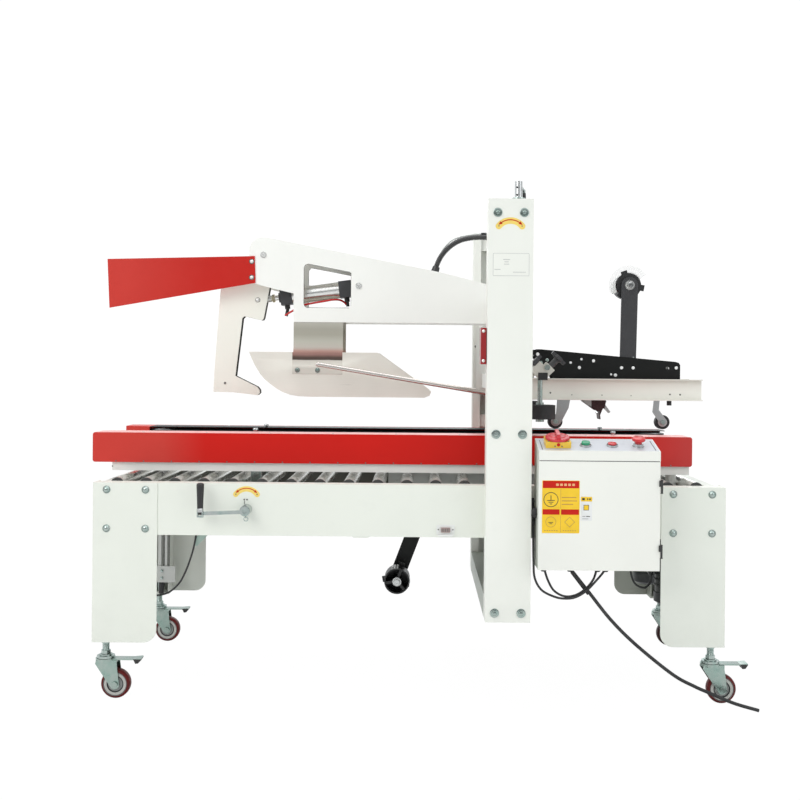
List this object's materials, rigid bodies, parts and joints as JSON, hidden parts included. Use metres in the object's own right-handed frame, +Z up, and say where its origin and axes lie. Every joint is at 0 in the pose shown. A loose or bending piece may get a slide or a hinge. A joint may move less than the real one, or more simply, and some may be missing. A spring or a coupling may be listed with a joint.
{
  "type": "carton sealer",
  "caption": "Flap-folding, side-belt-drive carton sealer on casters with twin masts, a height-adjustable top tape head, a bed tape head, a plough, a kicker arm and a side control box.",
  "frame": {"origin": "on the floor, mid-length of the legs, midway between the side rails", "axes": "+X is the way cartons travel, -Y is the operator's side, +Z is up"},
  "size_m": [1.8294, 0.8468, 1.408],
  "materials": {
    "white_paint": "cool off-white fine-texture powder coat",
    "red_paint": "signal red semi-gloss powder coat",
    "grey_paint": "pale grey paint",
    "black_paint": "black powder coat",
    "zinc_plate": "bright zinc plate",
    "roller_steel": "turned and zinc plated steel",
    "stainless": "bright stainless sheet and rod",
    "aluminium": "drawn and machined aluminium",
    "belt_rubber": "matt black rubber",
    "pu_tread": "maroon polyurethane on a pale nylon wheel",
    "black_plastic": "moulded black plastic",
    "red_plastic": "glossy red plastic",
    "green_plastic": "glossy green plastic"
  },
  "bodies": {
    "frame": {"side_rails": "white_paint", "cross_members": "white_paint", "leg_plates": "white_paint", "mast_columns": "white_paint", "bed_rollers": "roller_steel", "lower_head_frame": "grey_paint", "lower_reel_arm": "black_paint", "frame_fasteners": "zinc_plate", "control_box": "white_paint", "cables": "belt_rubber"},
    "width_crank": {"width_crank": "zinc_plate"},
    "crank_grip": {"crank_grip": "black_plastic"},
    "belt_unit_front": {"belt_guard_front": "red_paint", "belt_base_front": "white_paint", "drive_belt_front": "belt_rubber"},
    "belt_unit_rear": {"belt_guard_rear": "red_paint", "belt_base_rear": "white_paint", "drive_belt_rear": "belt_rubber"},
    "carriage": {"lift_carriage": "white_paint", "flap_arm": "white_paint", "nose_guard": "red_paint", "carriage_bolts": "zinc_plate", "plough": "stainless", "guide_rods": "stainless", "outfeed_beams": "white_paint", "side_clamps": "aluminium", "upper_head_frame": "black_paint"},
    "caster_fork_fl": {"caster_fork_fl": "zinc_plate"},
    "caster_fork_fr": {"caster_fork_fr": "zinc_plate"},
    "caster_fork_rl": {"caster_fork_rl": "zinc_plate"},
    "caster_fork_rr": {"caster_fork_rr": "zinc_plate"},
    "caster_wheel_fl": {"caster_wheel_fl": "pu_tread"},
    "caster_wheel_fr": {"caster_wheel_fr": "pu_tread"},
    "caster_wheel_rl": {"caster_wheel_rl": "pu_tread"},
    "caster_wheel_rr": {"caster_wheel_rr": "pu_tread"},
    "drive_pulley_front": {"drive_pulley_front": "roller_steel"},
    "drive_pulley_rear": {"drive_pulley_rear": "roller_steel"},
    "idler_pulley_front": {"idler_pulley_front": "roller_steel"},
    "idler_pulley_rear": {"idler_pulley_rear": "roller_steel"},
    "height_crank": {"height_crank": "zinc_plate"},
    "lead_screw_rear": {"lead_screw_rear": "zinc_plate"},
    "kicker": {"kicker": "white_paint"},
    "cylinder_barrel": {"cylinder_barrel": "aluminium"},
    "cylinder_rod": {"cylinder_rod": "stainless"},
    "press_wheels_infeed": {"press_wheels_infeed": "belt_rubber"},
    "press_wheels_outfeed": {"press_wheels_outfeed": "belt_rubber"},
    "side_roller_front": {"side_roller_front": "belt_rubber"},
    "side_roller_rear": {"side_roller_rear": "belt_rubber"},
    "upper_reel_hub": {"upper_reel_hub": "black_plastic"},
    "upper_front_arm": {"upper_front_arm": "roller_steel"},
    "upper_rear_arm": {"upper_rear_arm": "roller_steel"},
    "upper_knife": {"upper_knife": "roller_steel"},
    "lower_reel_hub": {"lower_reel_hub": "black_plastic"},
    "lower_front_arm": {"lower_front_arm": "roller_steel"},
    "lower_rear_arm": {"lower_rear_arm": "roller_steel"},
    "control_door": {"control_door": "white_paint"},
    "isolator_knob": {"isolator_knob": "red_plastic"},
    "start_button": {"start_button": "green_plastic"},
    "stop_button": {"stop_button": "red_plastic"},
    "estop_button": {"estop_button": "red_plastic"}
  },
  "joints": [
    {"name": "caster_swivel_fl", "type": "hinge", "parent": "frame", "child": "caster_fork_fl", "pos_m": [-0.826, -0.3, 0.105], "axis": [0, 0, 1], "continuous": true},
    {"name": "caster_roll_fl", "type": "hinge", "parent": "caster_fork_fl", "child": "caster_wheel_fl", "pos_m": [-0.797, -0.3, 0.04], "axis": [0, 1, 0], "continuous": true},
    {"name": "caster_swivel_fr", "type": "hinge", "parent": "frame", "child": "caster_fork_fr", "pos_m": [0.826, -0.3, 0.105], "axis": [0, 0, 1], "continuous": true},
    {"name": "caster_roll_fr", "type": "hinge", "parent": "caster_fork_fr", "child": "caster_wheel_fr", "pos_m": [0.855, -0.3, 0.04], "axis": [0, 1, 0], "continuous": true},
    {"name": "caster_swivel_rl", "type": "hinge", "parent": "frame", "child": "caster_fork_rl", "pos_m": [-0.826, 0.3, 0.105], "axis": [0, 0, 1], "continuous": true},
    {"name": "caster_roll_rl", "type": "hinge", "parent": "caster_fork_rl", "child": "caster_wheel_rl", "pos_m": [-0.797, 0.3, 0.04], "axis": [0, 1, 0], "continuous": true},
    {"name": "caster_swivel_rr", "type": "hinge", "parent": "frame", "child": "caster_fork_rr", "pos_m": [0.826, 0.3, 0.105], "axis": [0, 0, 1], "continuous": true},
    {"name": "caster_roll_rr", "type": "hinge", "parent": "caster_fork_rr", "child": "caster_wheel_rr", "pos_m": [0.855, 0.3, 0.04], "axis": [0, 1, 0], "continuous": true},
    {"name": "belt_width_front", "type": "slide", "parent": "frame", "child": "belt_unit_front", "axis": [0, -1, 0], "range_m": [-0.038, 0.09]},
    {"name": "belt_width_rear", "type": "slide", "parent": "frame", "child": "belt_unit_rear", "axis": [0, 1, 0], "range_m": [-0.0382, 0.0902]},
    {"name": "width_crank_turn", "type": "hinge", "parent": "frame", "child": "width_crank", "pos_m": [-0.439, -0.345, 0.522], "axis": [0, 1, 0], "range_deg": [-1372, 3244]},
    {"name": "crank_grip_fold", "type": "hinge", "parent": "width_crank", "child": "crank_grip", "pos_m": [-0.558, -0.369, 0.515], "axis": [1, 0, 0], "range_deg": [0, 90]},
    {"name": "drive_pulley_front_spin", "type": "hinge", "parent": "belt_unit_front", "child": "drive_pulley_front", "pos_m": [0.75, -0.147, 0.67], "axis": [0, 0, 1], "continuous": true},
    {"name": "idler_pulley_front_spin", "type": "hinge", "parent": "belt_unit_front", "child": "idler_pulley_front", "pos_m": [-0.78, -0.147, 0.67], "axis": [0, 0, 1], "continuous": true},
    {"name": "drive_pulley_rear_spin", "type": "hinge", "parent": "belt_unit_rear", "child": "drive_pulley_rear", "pos_m": [0.75, 0.147, 0.67], "axis": [0, 0, 1], "continuous": true},
    {"name": "idler_pulley_rear_spin", "type": "hinge", "parent": "belt_unit_rear", "child": "idler_pulley_rear", "pos_m": [-0.78, 0.147, 0.67], "axis": [0, 0, 1], "continuous": true},
    {"name": "carriage_lift", "type": "slide", "parent": "frame", "child": "carriage", "axis": [0, 0, 1], "range_m": [-0.009, 0.25]},
    {"name": "height_crank_turn", "type": "hinge", "parent": "frame", "child": "height_crank", "pos_m": [0.285, -0.365, 1.38], "axis": [0, 0, 1], "range_deg": [-328, 9004]},
    {"name": "lead_screw_rear_turn", "type": "hinge", "parent": "frame", "child": "lead_screw_rear", "pos_m": [0.285, 0.365, 0.8], "axis": [0, 0, 1], "range_deg": [-328, 9004]},
    {"name": "kicker_swing", "type": "hinge", "parent": "carriage", "child": "kicker", "pos_m": [-0.4386, 0, 1.237], "axis": [0, 1, 0], "range_deg": [0, 60]},
    {"name": "cylinder_tilt", "type": "hinge", "parent": "carriage", "child": "cylinder_barrel", "pos_m": [-0.1567, 0, 1.148], "axis": [0, 1, 0], "range_deg": [-1, 15]},
    {"name": "rod_extend", "type": "slide", "parent": "cylinder_barrel", "child": "cylinder_rod", "axis": [-0.9911, 0, -0.1331], "range_m": [-0.001, 0.11]},
    {"name": "press_wheels_infeed_spin", "type": "hinge", "parent": "carriage", "child": "press_wheels_infeed", "pos_m": [0.426, -0.07, 0.753], "axis": [0, 1, 0], "continuous": true},
    {"name": "press_wheels_outfeed_spin", "type": "hinge", "parent": "carriage", "child": "press_wheels_outfeed", "pos_m": [0.741, -0.07, 0.754], "axis": [0, 1, 0], "continuous": true},
    {"name": "side_roller_front_spin", "type": "hinge", "parent": "carriage", "child": "side_roller_front", "pos_m": [0.369, -0.175, 0.785], "axis": [0, 0, 1], "continuous": true},
    {"name": "side_roller_rear_spin", "type": "hinge", "parent": "carriage", "child": "side_roller_rear", "pos_m": [0.369, 0.175, 0.785], "axis": [0, 0, 1], "continuous": true},
    {"name": "upper_reel_spin", "type": "hinge", "parent": "carriage", "child": "upper_reel_hub", "pos_m": [0.649, 0, 1.159], "axis": [0, 1, 0], "continuous": true},
    {"name": "upper_front_arm_swing", "type": "hinge", "parent": "carriage", "child": "upper_front_arm", "pos_m": [0.48, 0, 0.915], "axis": [0, 1, 0], "range_deg": [0, 15]},
    {"name": "upper_rear_arm_swing", "type": "hinge", "parent": "carriage", "child": "upper_rear_arm", "pos_m": [0.6, 0, 0.912], "axis": [0, -1, 0], "range_deg": [-0.5, 15.5]},
    {"name": "upper_knife_swing", "type": "hinge", "parent": "carriage", "child": "upper_knife", "pos_m": [0.545, 0, 0.872], "axis": [0, -1, 0], "range_deg": [0, 20]},
    {"name": "lower_reel_spin", "type": "hinge", "parent": "frame", "child": "lower_reel_hub", "pos_m": [-0.037, 0, 0.27], "axis": [0, 1, 0], "continuous": true},
    {"name": "lower_front_arm_swing", "type": "hinge", "parent": "frame", "child": "lower_front_arm", "pos_m": [0.14, 0, 0.5], "axis": [0, -1, 0], "range_deg": [0, 20]},
    {"name": "lower_rear_arm_swing", "type": "hinge", "parent": "frame", "child": "lower_rear_arm", "pos_m": [0.215, 0, 0.5], "axis": [0, 1, 0], "range_deg": [-0.5, 20.5]},
    {"name": "control_door_swing", "type": "hinge", "parent": "frame", "child": "control_door", "pos_m": [0.6572, -0.441, 0.52], "axis": [0, 0, 1], "range_deg": [0, 110]},
    {"name": "isolator_turn", "type": "hinge", "parent": "frame", "child": "isolator_knob", "pos_m": [0.39, -0.39345, 0.70654], "axis": [0, -0.2516, 0.9678], "range_deg": [0, 90]},
    {"name": "start_press", "type": "slide", "parent": "frame", "child": "start_button", "axis": [0, 0.2516, -0.9678], "range_m": [0, 0.003]},
    {"name": "stop_press", "type": "slide", "parent": "frame", "child": "stop_button", "axis": [0, 0.2516, -0.9678], "range_m": [0, 0.003]},
    {"name": "estop_press", "type": "slide", "parent": "frame", "child": "estop_button", "axis": [0, 0.2516, -0.9678], "range_m": [0, 0.005]}
  ],
  "couplings": [
    {"joint": "belt_width_rear", "follows": "belt_width_front", "ratio": 1},
    {"joint": "width_crank_turn", "follows": "belt_width_front", "rad_per_m": 628.32},
    {"joint": "idler_pulley_front_spin", "follows": "drive_pulley_front_spin", "ratio": 1},
    {"joint": "idler_pulley_rear_spin", "follows": "drive_pulley_rear_spin", "ratio": 1},
    {"joint": "height_crank_turn", "follows": "carriage_lift", "rad_per_m": 628.32},
    {"joint": "lead_screw_rear_turn", "follows": "carriage_lift", "rad_per_m": 628.32},
    {"joint": "cylinder_tilt", "follows": "kicker_swing", "ratio": 0.2207},
    {"joint": "rod_extend", "follows": "kicker_swing", "m_per_rad": 0.10186},
    {"joint": "upper_rear_arm_swing", "follows": "upper_front_arm_swing", "ratio": 1},
    {"joint": "lower_rear_arm_swing", "follows": "lower_front_arm_swing", "ratio": 1}
  ]
}
